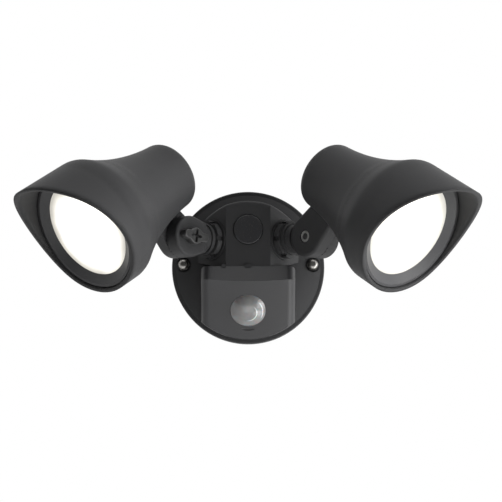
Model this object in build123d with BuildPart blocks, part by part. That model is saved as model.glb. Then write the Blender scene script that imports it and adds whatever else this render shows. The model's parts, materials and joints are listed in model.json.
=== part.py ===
from build123d import *
import os
from collections import namedtuple
from math import asin, cos, degrees, radians, sin, sqrt

# Twin-head motion sensor security light, in millimetres.
# The wall is the plane y = 0, the light faces -Y and +Z is up.
# A depth is a distance out from the wall. The origin is the middle of the canopy's back.

os.makedirs("parts", exist_ok=True)

# Driving dimensions: fits
seat_gap = 0.1  # between pieces of one body that bear on each other
turn_gap = 0.3  # between pieces that move past each other
shaft_gap = 0.1  # radial, round a shaft or thread
thread_gap = 0.05  # radial, round a screw in its own thread

# Canopy: a round cast cover with a raised three-faced block for the arms
canopy_r = 59.0
canopy_wall = 2.5
rim_width = 4.0
skirt_depth = 16.0
lip_width = 3.0
lip_round = 1.0
dome_rise = 10.0
block_r = 49.0
panel_depth = 43.0
panel_half_width = 17.0
facet_foot_depth = 17.0
foot_z = -1.0
foot_half_width = 24.7
foot_slant_rise = 7.5
block_round = 2.2
gasket_thickness = 2.0
gasket_lip = 0.4

# Crossbar, studs and cap nuts
bar_length = 107.0
bar_width = 16.0
bar_thickness = 1.6
bar_z = 2.0
box_screw_spacing = 80.0
box_slot_length = 14.0
box_slot_r = 2.4
bar_hole_r = 6.0
stud_spread = 100.0
stud_r = 2.0
cap_nut_flats = 8.0
cap_nut_height = 3.6
cap_dome_height = 3.0
cap_dome_round = 2.7
spot_r = 5.8
earth_screw_x = 15.0
earth_screw_r = 2.0
earth_head_r = 4.0
earth_head_height = 2.4

# Blanking plug in the middle of the panel
plug_z = 27.0
plug_head_r = 11.1
plug_head_height = 2.0
plug_stand = 0.8
plug_round = 0.6
plug_stem_r = 9.6
plug_stem_length = 8.0
plug_groove = 0.5
seal_thickness = 1.0

# Sensor cover: a wedge under the block, its face looking down
cover_half_width = 36.0
cover_r = 55.8
cover_wall = 2.2
cover_side_round = 7.0
cover_top_round = 3.2
brow_depth = 50.0
brow_z = -13.0
face_tilt = 30.0
face_bow_r = 260.0
band_bow_r = 1500.0
pir_r = 13.3
pir_drop = 25.0
pir_bulge = 5.0
pir_wall = 1.0
pir_flange = 2.0
pir_flange_thickness = 1.2
window_half_width = 20.0
window_top_z = -14.0
window_bottom_z = -41.0
window_round = 3.0
board_length = 42.0
board_height = 24.0
board_thickness = 1.6
board_setback = 9.5
post_r = 2.2
post_inset = 3.5
cover_screw_x = 31.0
cover_screw_z = -19.0
cover_screw_r = 1.5
cover_screw_head_r = 2.8
cover_screw_head_height = 1.8
cover_screw_end = 29.0
cover_post_r = 3.4
cover_post_end = 33.0
cover_pad_r = 3.8
cover_pad_depth = 17.5
pyro_r = 4.6
pyro_height = 4.2
pyro_rim = 0.5
relay_length = 15.0
relay_width = 10.0
relay_height = 9.0
relay_x = -9.0
relay_y = 3.0
lip_half_width = 8.5
lip_belly = 1.7
lip_deep = 0.7
lip_drop = 40.7
catch_thickness = 1.0
catch_height = 1.5
middle_catch_half_width = 2.7
side_catch_half_width = 1.7
side_catch_x = -18.6

# Dials under the sensor
dial_x = 10.0
dial_r = 3.0
dial_height = 3.2
dial_shaft_r = 1.5
dial_slot = 0.9
dial_chamfer = 0.5
bay_half_width = 16.0
bay_wall = 1.8
bay_floor_z = -50.4
bay_depth = 7.0
bay_clear = -0.6
pot_side = 5.0
pot_height = 2.5
pot_shift = 1.4

# Driver module inside the canopy
driver_width = 54.0
driver_height = 26.0
driver_depth = 11.0
driver_z = -27.0
driver_front = 14.0
driver_round = 2.0
driver_post_r = 2.2
driver_post_x = 23.6
driver_post_length = 6.4

# Arms: lock nut, threaded stem and knuckle
arm_x = 28.5
arm_z = 20.0
arm_reach = 31.1
nipple_r = 10.3
nipple_inside = 12.0
nipple_bore_r = 6.0
boss_r = 13.5
boss_length = 8.0
facet_seat_r = 15.8
facet_seat_height = 0.8
washer_r = 13.2
lock_nut_r = 14.5
lock_nut_thickness = 4.5
lock_nut_notches = 6
notch_width = 3.4
notch_bite = 1.6
neck_r = 11.0
neck_collar_r = 12.2
neck_collar_length = 3.0
barrel_r = 15.6
half_thickness = 11.2
barrel_round = 2.0
ear_round = 2.5
bolt_r = 2.5
bolt_land_r = 5.0
pocket_r = 9.4
pocket_depth = 6.5
tooth_count = 30
tooth_depth = 0.5
wire_hole_r = 3.2

# Winged clamp screw and its nut
screw_washer_r = 6.2
screw_washer_thickness = 1.0
wing_boss_r = 5.8
wing_span = 24.5
wing_tip_r = 2.6
wing_height = 5.4
wing_chamfer = 0.8
wing_turn = 8.0
cross_length = 7.6
cross_width = 1.3
cross_depth = 2.2
nut_r = 4.5
nut_height = 4.0
nut_recess = 0.4
nut_chamfer = 0.5

# Head: bell, hood and lens, measured along its own axis from the back
head_pitch = 30.0
hinge_forward = 13.9
hinge_drop = 46.1
back_crown = 2.5
bell_back_r = 26.0
back_round = 6.0
bell_flare_r = 167.0
hood_r = 48.7
hood_wall = 2.8
shoulder_s = 79.2
shoulder_round = 12.0
lens_s = 94.3
lip_ahead = 5.4
cut_start = 32.6
cut_r = 121.0
head_wall = 2.6
web_start = 10.0
web_end = 34.0
web_width = 6.0
seat_ledge = 5.9
carrier_s = 65.0
carrier_thickness = 4.0
carrier_ledge = 2.5

# Head: what the lens covers
lens_thickness = 3.5
lens_gasket_thickness = 2.0
lens_crown = 1.6
lens_edge_gap = 2.9
lens_gasket_width = 4.5
bezel_cover = 3.5
bezel_edge = 1.9
bezel_groove = 1.0
bezel_height = 4.0
bezel_flange = 2.0
led_board_r = 30.0
led_board_thickness = 1.6
led_side = 5.0
led_height = 1.2
led_ring_r = 13.0
led_ring_count = 10
led_inner_ring_r = 5.0
led_inner_count = 3
reflector_foot_r = 20.0
reflector_ledge = 2.5
reflector_wall = 1.2
board_screw_r = 1.5
board_screw_head_r = 2.8
board_screw_head_height = 1.6
board_screw_length = 5.0
board_screw_ring_r = 26.2
board_screw_count = 3

# Places that follow from the dimensions
dome_r = canopy_r - lip_width
dome_top = skirt_depth + dome_rise
facet_sum = panel_half_width + panel_depth  # |x| + depth is this all over a facet
arm_depth = facet_sum - arm_x
face_slope = Vector(0, sin(radians(face_tilt)), -cos(radians(face_tilt)))
face_normal = Vector(0, -cos(radians(face_tilt)), -sin(radians(face_tilt)))
brow = Vector(0, -brow_depth, brow_z)
band_slope = (brow - Vector(0, -panel_depth, foot_z)).normalized()
pir_centre = brow + face_slope * pir_drop
reach = 2 * canopy_r  # long enough to cut right through
pir_seat = cover_wall + (pir_r + pir_flange) ** 2 / (2 * face_bow_r) + seat_gap
bay_middle = skirt_depth + bay_wall + bay_depth / 2 + bay_clear
stud_end = skirt_depth + cap_nut_height + cap_dome_height / 2
lock_nut_start = facet_seat_height + seal_thickness
neck_start = lock_nut_start + lock_nut_thickness + turn_gap
neck_end = arm_reach - barrel_r - 2 * turn_gap
lens_seat_s = lens_s - lens_thickness - lens_gasket_thickness
hood_bore_r = hood_r - hood_wall
seat_r = hood_bore_r - seat_ledge
lens_r = hood_bore_r - lens_edge_gap
bezel_eye_r = seat_r - bezel_cover
bezel_rim_r = hood_bore_r - bezel_groove
bezel_mouth_r = bezel_rim_r - bezel_edge
reflector_mouth_r = seat_r - reflector_ledge
tooth_side = tooth_depth * sqrt(2)
tooth_length = barrel_r - pocket_r + 2 * tooth_depth  # past both edges of the ring
board_s = carrier_s + carrier_thickness
led_s = board_s + led_board_thickness
hood_reach = sqrt(cut_r**2 - (hood_r + cut_start) ** 2)
hood_tip_s = lens_s + lip_ahead + cut_r - hood_reach

Arm = namedtuple("Arm", "name root hinge outward lateral axis up back")


def make_arm(name, side):
    """Where one arm stands: side is -1 on the left and 1 on the right, as seen from the front."""
    turn = cos(radians(45))
    outward = Vector(side * turn, -turn, 0)
    lateral = Vector(turn, side * turn, 0)
    up = Vector(0, 0, 1)
    root = Vector(side * arm_x, -arm_depth, arm_z)
    hinge = root + outward * arm_reach
    axis = outward * cos(radians(head_pitch)) - up * sin(radians(head_pitch))
    head_up = outward * sin(radians(head_pitch)) + up * cos(radians(head_pitch))
    back = hinge + head_up * hinge_drop - axis * hinge_forward
    return Arm(name, root, hinge, outward, lateral, axis, head_up, back)


def stem_plane(arm, along):
    """Across the stem, this far out from the block's face."""
    return Plane(arm.root + arm.outward * along, x_dir=arm.lateral, z_dir=arm.outward)


def knuckle_plane(arm, ear_side):
    """Across the clamp screw, facing the head's half of the knuckle."""
    return Plane(arm.hinge - arm.lateral * ear_side, x_dir=arm.outward, z_dir=-arm.lateral)


def side_plane(arm, ear_side=0):
    """The head in side view: x along its axis from the back, y up."""
    return Plane(arm.back - arm.lateral * ear_side, x_dir=arm.axis, z_dir=-arm.lateral)


def cross_plane(arm, s):
    """Across the head, this far from its back."""
    return Plane(arm.back + arm.axis * s, x_dir=arm.lateral, z_dir=arm.axis)


def flare(s, inset=0):
    """Radius of the bell's flared side at s, or of its inner face."""
    rise = hood_r - bell_back_r
    chord = sqrt(shoulder_s**2 + rise**2)
    away = sqrt(bell_flare_r**2 - chord**2 / 4)
    middle_s = shoulder_s / 2 - away * rise / chord
    middle_r = (hood_r + bell_back_r) / 2 + away * shoulder_s / chord
    return middle_r - sqrt((bell_flare_r + inset) ** 2 - (s - middle_s) ** 2)


def flare_points(start, end, inset=0):
    """Three points of the flared side, for an arc."""
    return [(s, flare(s, inset)) for s in (start, (start + end) / 2, end)]


arms = [make_arm("left", -1), make_arm("right", 1)]
carrier_r = flare(carrier_s, head_wall)


def canopy_form(inset, back, side_r):
    """Dome and raised block in one solid, drawn in by inset on every outer face."""
    foot = foot_z + inset
    slant_end = reach / 2
    slant_rise = foot_slant_rise * (slant_end - foot_half_width) / (block_r - foot_half_width)
    corner = facet_sum - inset * sqrt(2)
    front = panel_depth - inset
    with BuildPart() as form:
        with BuildSketch(Plane.XZ.offset(back)):
            Circle(block_r - inset)
            with BuildLine():
                Polyline(
                    (-slant_end, foot + slant_rise),
                    (-foot_half_width, foot),
                    (foot_half_width, foot),
                    (slant_end, foot + slant_rise),
                    (slant_end, -slant_end),
                    (-slant_end, -slant_end),
                    close=True,
                )
            make_face(mode=Mode.SUBTRACT)
        extrude(amount=front - back)
        for side in (-1, 1):
            with BuildSketch(Plane.XY):
                with BuildLine():
                    Polyline(
                        (side * (corner - reach), -reach),
                        (side * corner, 0),
                        (side * reach, 0),
                        (side * reach, -reach),
                        close=True,
                    )
                make_face()
            extrude(amount=reach, both=True, mode=Mode.SUBTRACT)
        if inset == 0:
            curved = [
                e
                for e in form.edges()
                if e.geom_type in (GeomType.CIRCLE, GeomType.ELLIPSE) and e.center().Y < -facet_foot_depth
            ]
            fillet(curved, block_round)
        with BuildSketch(Plane.XY) as half:
            with BuildLine():
                Polyline((0, -back), (side_r, -back), (side_r, inset - skirt_depth))
                Line((side_r, inset - skirt_depth), (dome_r - inset, inset - skirt_depth))
                TangentArc((0, inset - dome_top), (dome_r - inset, inset - skirt_depth), tangent=(1, 0))
                Line((0, inset - dome_top), (0, -back))
            make_face()
            if inset == 0:
                fillet(half.vertices().sort_by_distance((side_r, -skirt_depth))[0], lip_round)
        revolve(axis=Axis.Y)
    return form.part


def cover_slab(plane, inset, bow_r):
    """One face of the sensor cover and the room behind it: across the face, with rounded sides."""
    half_width = cover_half_width - inset
    sag = half_width**2 / (2 * bow_r)
    with BuildPart() as slab:
        with BuildSketch(plane) as across:
            with BuildLine():
                ThreePointArc((-half_width, -inset - sag), (0, -inset), (half_width, -inset - sag))
                Polyline(
                    (half_width, -inset - sag),
                    (half_width, -reach),
                    (-half_width, -reach),
                    (-half_width, -inset - sag),
                )
            make_face()
            fillet(across.vertices().group_by(Axis.Y)[-1], cover_side_round - inset)
        extrude(amount=reach, both=True)
    return slab.part


def cover_form(inset, back):
    """The sensor cover's wedge, drawn in by inset."""
    face = cover_slab(Plane(brow, x_dir=(1, 0, 0), z_dir=face_slope), inset, face_bow_r)
    band = cover_slab(Plane(brow, x_dir=(1, 0, 0), z_dir=band_slope), inset, band_bow_r)
    with BuildPart() as form:
        add(face)
        add(band, mode=Mode.INTERSECT)
        with BuildSketch(Plane.XZ.offset(back)):
            Circle(cover_r - inset)
            with Locations((0, foot_z - seat_gap - inset)):
                RectangleRounded(
                    2 * (cover_half_width - inset),
                    reach,
                    cover_top_round - inset,
                    align=(Align.CENTER, Align.MAX),
                    mode=Mode.INTERSECT,
                )
        extrude(amount=reach, mode=Mode.INTERSECT)
    return form.part


def ear_form(arm):
    """The head's half of the knuckle, drawn out to the bell."""
    with BuildPart() as ear:
        with BuildSketch(side_plane(arm, turn_gap / 2)):
            with Locations((hinge_forward, -hinge_drop)):
                Circle(barrel_r)
            with Locations(((web_start + web_end) / 2, web_width - bell_back_r)):
                Rectangle(web_end - web_start, web_width)
            make_hull()
        extrude(amount=half_thickness)
        outer_face = ear.faces().sort_by_distance(knuckle_plane(arm, turn_gap / 2 + half_thickness).origin)[0]
        fillet(outer_face.edges(), ear_round)
    return ear.part


canopy_outer = canopy_form(0, gasket_thickness, canopy_r)
canopy_inner = canopy_form(canopy_wall, 0, canopy_r - rim_width)

# Canopy
with BuildPart() as canopy:
    add(canopy_outer)
    add(canopy_inner, mode=Mode.SUBTRACT)
    for arm in arms:  # thread boss behind each side face and a raised seat in front
        with BuildSketch(stem_plane(arm, -boss_length)):
            Circle(boss_r)
        extrude(amount=boss_length - seat_gap)
        with BuildSketch(stem_plane(arm, -seat_gap)):
            Circle(facet_seat_r)
        extrude(amount=facet_seat_height + seat_gap)
        with BuildSketch(stem_plane(arm, -2 * boss_length)):
            Circle(nipple_r + shaft_gap)
        extrude(amount=3 * boss_length, mode=Mode.SUBTRACT)
    with BuildSketch(Plane.XZ.offset(panel_depth - plug_head_height)):  # plug boss and its sunk seat
        with Locations((0, plug_z)):
            Circle(plug_head_r + 2 * plug_groove)
    extrude(amount=-canopy_wall)
    with BuildSketch(Plane.XZ.offset(panel_depth - plug_head_height)):
        with Locations((0, plug_z)):
            Circle(plug_head_r + plug_groove)
    extrude(amount=plug_head_height, mode=Mode.SUBTRACT)
    with BuildSketch(Plane.XZ.offset(dome_top)):
        with Locations((0, plug_z)):
            Circle(plug_stem_r + shaft_gap)
    extrude(amount=panel_depth, mode=Mode.SUBTRACT)
    for side in (-1, 1):
        with BuildSketch(Plane.XZ.offset(skirt_depth)):  # flat seat for a cap nut
            with Locations((side * stud_spread / 2, bar_z)):
                Circle(spot_r)
        extrude(amount=dome_rise, mode=Mode.SUBTRACT)
        with BuildSketch(Plane.XZ):
            with Locations((side * stud_spread / 2, bar_z)):
                Circle(stud_r + turn_gap)
        extrude(amount=dome_top, mode=Mode.SUBTRACT)
    with BuildSketch(Plane.XZ.offset(skirt_depth - canopy_wall)):  # window to the sensor
        with Locations((0, (window_top_z + window_bottom_z) / 2)):
            RectangleRounded(2 * window_half_width, window_top_z - window_bottom_z, window_round)
    extrude(amount=dome_rise + 2 * canopy_wall, mode=Mode.SUBTRACT)
    for side in (-1, 1):
        with BuildSketch(Plane.XZ.offset(driver_front + seat_gap)):  # post for the driver
            with Locations((side * driver_post_x, driver_z)):
                Circle(driver_post_r)
        extrude(amount=driver_post_length)
        with BuildSketch(Plane.XZ.offset(cover_pad_depth)):  # pad for a screw of the sensor cover
            with Locations((side * cover_screw_x, cover_screw_z)):
                Circle(cover_pad_r)
        extrude(amount=canopy_wall)
        with BuildSketch(Plane.XZ.offset(cover_pad_depth)):
            with Locations((side * cover_screw_x, cover_screw_z)):
                Circle(cover_screw_r + shaft_gap)
        extrude(amount=dome_rise, mode=Mode.SUBTRACT)
canopy.part.label = "canopy"
export_step(canopy.part, "parts/canopy.step")

# Foam gasket between the canopy's rim and the wall
with BuildPart() as wall_gasket:
    with BuildSketch(Plane.XZ):
        Circle(canopy_r - gasket_lip)
        Circle(canopy_r - rim_width, mode=Mode.SUBTRACT)
    extrude(amount=gasket_thickness)
wall_gasket.part.label = "wall_gasket"
export_step(wall_gasket.part, "parts/wall_gasket.step")

# Steel crossbar that is screwed to the wall box
with BuildPart() as mounting_bar:
    with BuildSketch(Plane.XZ):
        with Locations((0, bar_z)):
            SlotOverall(bar_length, bar_width)
            Circle(bar_hole_r, mode=Mode.SUBTRACT)
            with Locations((-box_screw_spacing / 2, 0), (box_screw_spacing / 2, 0)):
                SlotOverall(box_slot_length, 2 * box_slot_r, mode=Mode.SUBTRACT)
            with Locations((-stud_spread / 2, 0), (stud_spread / 2, 0)):
                Circle(stud_r, mode=Mode.SUBTRACT)
            with Locations((earth_screw_x, 0)):
                Circle(earth_screw_r, mode=Mode.SUBTRACT)
    extrude(amount=bar_thickness)
mounting_bar.part.label = "mounting_bar"
export_step(mounting_bar.part, "parts/mounting_bar.step")

# Two studs out of the crossbar
with BuildPart() as mounting_studs:
    with BuildSketch(Plane.XZ):
        with Locations((-stud_spread / 2, bar_z), (stud_spread / 2, bar_z)):
            Circle(stud_r)
    extrude(amount=stud_end)
mounting_studs.part.label = "mounting_studs"
export_step(mounting_studs.part, "parts/mounting_studs.step")

# Two domed cap nuts on the studs
with BuildPart() as cap_nuts:
    for side in (-1, 1):
        centre = Plane.XZ.offset(skirt_depth) * Pos(side * stud_spread / 2, bar_z, 0)
        cap_plane = Plane(centre)
        with BuildSketch(cap_plane):
            RegularPolygon(cap_nut_flats / 2, 6, major_radius=False)
        extrude(amount=cap_nut_height)
        with BuildSketch(cap_plane.offset(cap_nut_height)):
            Circle(cap_nut_flats / 2 - shaft_gap)
        extrude(amount=cap_dome_height)
        crown = cap_plane.offset(cap_nut_height + cap_dome_height).origin
        fillet(cap_nuts.faces().sort_by_distance(crown)[0].edges(), cap_dome_round)
        with BuildSketch(cap_plane):
            Circle(stud_r + shaft_gap)
        extrude(amount=stud_end - skirt_depth + shaft_gap, mode=Mode.SUBTRACT)
cap_nuts.part.label = "cap_nuts"
export_step(cap_nuts.part, "parts/cap_nuts.step")

# Earth screw in the crossbar
with BuildPart() as earth_screw:
    with BuildSketch(Plane.XZ.offset(bar_thickness)):
        with Locations((earth_screw_x, bar_z)):
            Circle(earth_head_r)
    extrude(amount=earth_head_height)
    with BuildSketch(Plane.XZ.offset(bar_thickness + earth_head_height / 2)):
        with Locations((earth_screw_x, bar_z)):
            Rectangle(2 * earth_head_r, dial_slot)
    extrude(amount=earth_head_height, mode=Mode.SUBTRACT)
    with BuildSketch(Plane.XZ):
        with Locations((earth_screw_x, bar_z)):
            Circle(earth_screw_r)
    extrude(amount=bar_thickness)
earth_screw.part.label = "earth_screw"
export_step(earth_screw.part, "parts/earth_screw.step")

# Blanking plug and its seal in the panel's middle hole
plug_seat = panel_depth - plug_head_height
with BuildPart() as blanking_plug:
    with BuildSketch(Plane.XZ.offset(plug_seat + seal_thickness)):
        with Locations((0, plug_z)):
            Circle(plug_head_r)
    extrude(amount=plug_head_height - seal_thickness + plug_stand)
    fillet(blanking_plug.faces().sort_by(Axis.Y)[0].edges(), plug_round)
    with BuildSketch(Plane.XZ.offset(plug_seat - plug_stem_length)):
        with Locations((0, plug_z)):
            Circle(plug_stem_r)
            Circle(plug_stem_r - canopy_wall, mode=Mode.SUBTRACT)
    extrude(amount=plug_stem_length + seal_thickness)
blanking_plug.part.label = "blanking_plug"
export_step(blanking_plug.part, "parts/blanking_plug.step")

with BuildPart() as plug_seal:
    with BuildSketch(Plane.XZ.offset(plug_seat)):
        with Locations((0, plug_z)):
            Circle(plug_head_r)
            Circle(plug_stem_r + shaft_gap, mode=Mode.SUBTRACT)
    extrude(amount=seal_thickness)
plug_seal.part.label = "plug_seal"
export_step(plug_seal.part, "parts/plug_seal.step")

# Driver module on two posts inside the canopy
with BuildPart() as led_driver:
    with BuildSketch(Plane.XZ.offset(driver_front - driver_depth)):
        with Locations((0, driver_z)):
            RectangleRounded(driver_width, driver_height, driver_round)
    extrude(amount=driver_depth)
led_driver.part.label = "led_driver"
export_step(led_driver.part, "parts/led_driver.step")

# Sensor cover: wedge shell, seated on the dome
cover_back = skirt_depth - canopy_wall
cover_outer = cover_form(0, cover_back)
cover_inner = cover_form(cover_wall, cover_back)
face_plane = Plane(pir_centre, x_dir=(1, 0, 0), z_dir=face_normal)
lip_centre = brow + face_slope * lip_drop + face_normal * (lip_belly - lip_deep)
post_places = GridLocations(board_length - 2 * post_inset, board_height - 2 * post_inset, 2, 2)
with BuildPart() as sensor_cover:
    add(cover_outer)
    add(cover_inner, mode=Mode.SUBTRACT)
    with BuildSketch(face_plane.offset(-board_setback)):  # posts that carry the board
        with post_places:
            Circle(post_r)
    extrude(amount=board_setback - cover_wall / 2)
    with BuildSketch(Plane.XY.offset(bay_floor_z + bay_wall)):  # bay for the dials
        with Locations((0, -bay_middle)):
            Rectangle(2 * (bay_half_width + bay_wall), bay_depth + 2 * bay_wall)
    extrude(amount=-2 * bay_wall)
    with BuildSketch(Plane.XY.offset(bay_floor_z)):
        with Locations((0, -bay_middle)):
            Rectangle(2 * bay_half_width, bay_depth)
    extrude(amount=-reach, mode=Mode.SUBTRACT)
    with BuildSketch(Plane.XY.offset(bay_floor_z - bay_wall)):
        with Locations((-dial_x, -bay_middle), (dial_x, -bay_middle)):
            Circle(dial_shaft_r + shaft_gap)
    extrude(amount=4 * bay_wall, mode=Mode.SUBTRACT)
    with BuildSketch(face_plane.offset(pir_bulge)):
        Circle(pir_r + shaft_gap)
    extrude(amount=-board_setback, mode=Mode.SUBTRACT)
    with BuildSketch(Plane(lip_centre, x_dir=(1, 0, 0), z_dir=face_slope)):  # finger lip, a shallow scoop
        with BuildLine():
            ThreePointArc((-lip_half_width, 0), (0, lip_belly), (lip_half_width, 0))
            Line((-lip_half_width, 0), (lip_half_width, 0))
        make_face()
    revolve(axis=Axis(lip_centre, (1, 0, 0)), mode=Mode.SUBTRACT)
    for side in (-1, 1):  # posts for the screws from inside the canopy
        with BuildSketch(Plane.XZ.offset(cover_back)):
            with Locations((side * cover_screw_x, cover_screw_z)):
                Circle(cover_post_r)
        extrude(amount=cover_post_end - cover_back)
        with BuildSketch(Plane.XZ.offset(cover_back)):
            with Locations((side * cover_screw_x, cover_screw_z)):
                Circle(cover_screw_r)
        extrude(amount=cover_screw_end - cover_back, mode=Mode.SUBTRACT)
    add(cover_outer, mode=Mode.INTERSECT)
    with BuildSketch(Plane.XZ.offset(panel_depth + seat_gap)):  # catches that lap the foot of the panel
        with Locations((0, foot_z)):
            Ellipse(middle_catch_half_width, catch_height)
        with Locations((side_catch_x, foot_z)):
            Ellipse(side_catch_half_width, catch_height)
    extrude(amount=catch_thickness)
    add(canopy_outer, mode=Mode.SUBTRACT)
sensor_cover.part.label = "sensor_cover"
export_step(sensor_cover.part, "parts/sensor_cover.step")

# Screws from inside the canopy into the sensor cover
with BuildPart() as cover_screws:
    for side in (-1, 1):
        place = Locations((side * cover_screw_x, cover_screw_z))
        with BuildSketch(Plane.XZ.offset(cover_pad_depth - seat_gap)):
            with place:
                Circle(cover_screw_head_r)
        extrude(amount=-cover_screw_head_height)
        with BuildSketch(Plane.XZ.offset(cover_pad_depth - cover_screw_head_height)):
            with place:
                Circle(cover_screw_r - thread_gap)
        extrude(amount=cover_screw_end - thread_gap - cover_pad_depth + cover_screw_head_height)
cover_screws.part.label = "cover_screws"
export_step(cover_screws.part, "parts/cover_screws.step")

# Sensor: lens, holder, board and what stands on the board
pir_axis = Axis(pir_centre, face_normal)
with BuildPart() as pir_lens:
    with BuildSketch(Plane(pir_centre, x_dir=(1, 0, 0), z_dir=face_slope)):
        with BuildLine():
            TangentArc((0, pir_bulge), (pir_r, 0), tangent=(1, 0))
            Polyline(
                (pir_r, 0),
                (pir_r, -pir_seat),
                (pir_r + pir_flange, -pir_seat),
                (pir_r + pir_flange, -pir_seat - pir_flange_thickness),
                (pir_r - pir_wall, -pir_seat - pir_flange_thickness),
                (pir_r - pir_wall, 0),
            )
            TangentArc((0, pir_bulge - pir_wall), (pir_r - pir_wall, 0), tangent=(1, 0))
            Line((0, pir_bulge - pir_wall), (0, pir_bulge))
        make_face()
    revolve(axis=pir_axis)
pir_lens.part.label = "pir_lens"
export_step(pir_lens.part, "parts/pir_lens.step")

holder_top = pir_seat + pir_flange_thickness
with BuildPart() as lens_holder:
    with BuildSketch(face_plane.offset(-board_setback)):
        Circle(pir_r + pir_flange - pir_wall)
        Circle(pir_r - pir_wall, mode=Mode.SUBTRACT)
    extrude(amount=board_setback - holder_top)
lens_holder.part.label = "lens_holder"
export_step(lens_holder.part, "parts/lens_holder.step")

with BuildPart() as sensor_board:
    with BuildSketch(face_plane.offset(-board_setback)):
        Rectangle(board_length, board_height)
    extrude(amount=-board_thickness)
sensor_board.part.label = "sensor_board"
export_step(sensor_board.part, "parts/sensor_board.step")

with BuildPart() as pyro_sensor:
    with BuildSketch(face_plane.offset(-board_setback)):
        Circle(pyro_r)
    extrude(amount=pyro_height)
    with BuildSketch(face_plane.offset(-board_setback)):
        Circle(pyro_r + pyro_rim)
    extrude(amount=pyro_rim)
pyro_sensor.part.label = "pyro_sensor"
export_step(pyro_sensor.part, "parts/pyro_sensor.step")

with BuildPart() as relay:
    with BuildSketch(face_plane.offset(-board_setback - board_thickness)):
        with Locations((relay_x, relay_y)):
            Rectangle(relay_length, relay_width)
    extrude(amount=-relay_height)
relay.part.label = "relay"
export_step(relay.part, "parts/relay.step")

# Dials and their controls
dial_names = {"time_dial": -dial_x, "dusk_dial": dial_x}
with BuildPart() as dial_controls:
    with BuildSketch(Plane.XY.offset(bay_floor_z + bay_wall)):
        with Locations(*[(x, -bay_middle - pot_shift) for x in dial_names.values()]):
            Rectangle(pot_side, pot_side)
    extrude(amount=pot_height)
dial_controls.part.label = "dial_controls"
export_step(dial_controls.part, "parts/dial_controls.step")

for name, x in dial_names.items():
    dial_plane = Plane((x, -bay_middle, bay_floor_z - turn_gap), x_dir=(1, 0, 0), z_dir=(0, 0, -1))
    with BuildPart() as dial:
        with BuildSketch(dial_plane):
            Circle(dial_r)
        extrude(amount=dial_height)
        chamfer(dial.faces().sort_by(Axis.Z)[0].edges(), dial_chamfer)
        with BuildSketch(dial_plane.offset(dial_height)):
            Rectangle(2 * dial_r, dial_slot)
        extrude(amount=-dial_slot, mode=Mode.SUBTRACT)
        with BuildSketch(dial_plane):
            Circle(dial_shaft_r)
        extrude(amount=shaft_gap - bay_wall - turn_gap)
    dial.part.label = name
    export_step(dial.part, f"parts/{name}.step")

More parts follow.
